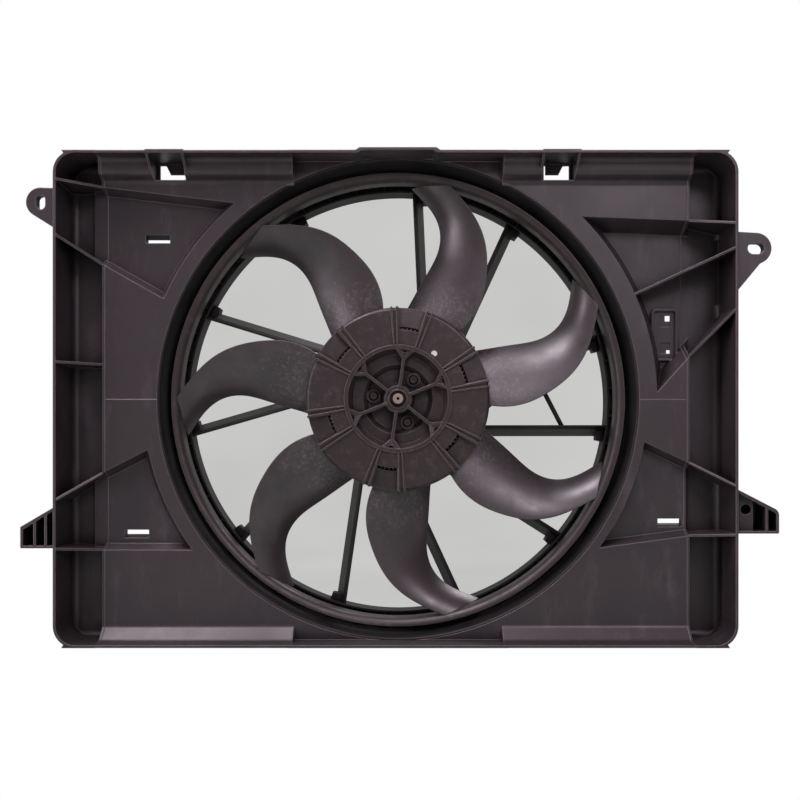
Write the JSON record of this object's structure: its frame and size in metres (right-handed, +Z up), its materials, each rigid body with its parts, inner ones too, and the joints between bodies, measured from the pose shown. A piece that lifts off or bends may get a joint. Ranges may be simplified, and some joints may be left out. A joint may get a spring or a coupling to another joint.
{
  "type": "radiator cooling fan",
  "caption": "Electric radiator cooling fan: a banded fan with swept blades turns in a rectangular plenum shroud, with the motor on straight stator vanes behind it.",
  "frame": {"origin": "centre of the whole part's bounding box", "axes": "+X to the right and +Z up as seen from the radiator, +Y from the radiator towards the engine, along the fan's axis"},
  "size_m": [0.7228, 0.122, 0.4766],
  "materials": {
    "shroud_plastic": "moulded glass filled nylon, satin black",
    "fan_plastic": "moulded glass filled nylon, semi gloss brown black",
    "zinc_steel": "zinc plated pressed steel",
    "ground_steel": "ground bearing steel",
    "lamination_steel": "stacked and varnished laminations",
    "ferrite": "sintered ferrite",
    "copper": "enamelled copper",
    "carbon": "pressed carbon and copper",
    "card_plastic": "moulded phenolic"
  },
  "bodies": {
    "shroud": {"plenum_upper_face": "shroud_plastic", "plenum_lower_face": "shroud_plastic", "plenum_left_channel": "shroud_plastic", "plenum_right_channel": "shroud_plastic", "fan_barrel": "shroud_plastic", "rear_ring_1": "shroud_plastic", "rear_ring_2": "shroud_plastic", "rear_ring_3": "shroud_plastic", "rear_ring_4": "shroud_plastic", "stator_vane_1": "shroud_plastic", "stator_vane_2": "shroud_plastic", "stator_vane_3": "shroud_plastic", "stator_vane_4": "shroud_plastic", "stator_vane_5": "shroud_plastic", "stator_vane_6": "shroud_plastic", "stator_vane_7": "shroud_plastic", "stator_vane_8": "shroud_plastic", "stator_vane_9": "shroud_plastic", "stator_vane_10": "shroud_plastic", "stator_vane_11": "shroud_plastic", "vane_brace": "shroud_plastic", "motor_cradle": "shroud_plastic", "cradle_clip": "shroud_plastic", "upper_left_ear": "shroud_plastic", "upper_right_ear": "shroud_plastic", "lower_left_foot": "shroud_plastic", "lower_right_foot": "shroud_plastic", "motor_screws": "zinc_steel", "motor_can": "zinc_steel", "motor_end_cap": "zinc_steel", "front_bearing": "ground_steel", "rear_bearing": "ground_steel", "motor_magnets": "ferrite", "brush_card": "card_plastic", "brushes": "carbon", "brush_springs": "ground_steel"},
    "fan": {"fan_hub": "fan_plastic", "fan_band": "fan_plastic", "fan_blade_1": "fan_plastic", "fan_blade_2": "fan_plastic", "fan_blade_3": "fan_plastic", "fan_blade_4": "fan_plastic", "fan_blade_5": "fan_plastic", "fan_blade_6": "fan_plastic", "fan_blade_7": "fan_plastic", "hub_screws": "zinc_steel", "motor_shaft": "ground_steel", "drive_plate": "zinc_steel", "armature_core": "lamination_steel", "armature_windings": "copper", "commutator": "copper"}
  },
  "joints": [
    {"name": "fan_spin", "type": "hinge", "parent": "shroud", "child": "fan", "pos_m": [-0.0017, 0, 0.00025], "axis": [0, 1, 0], "continuous": true}
  ]
}
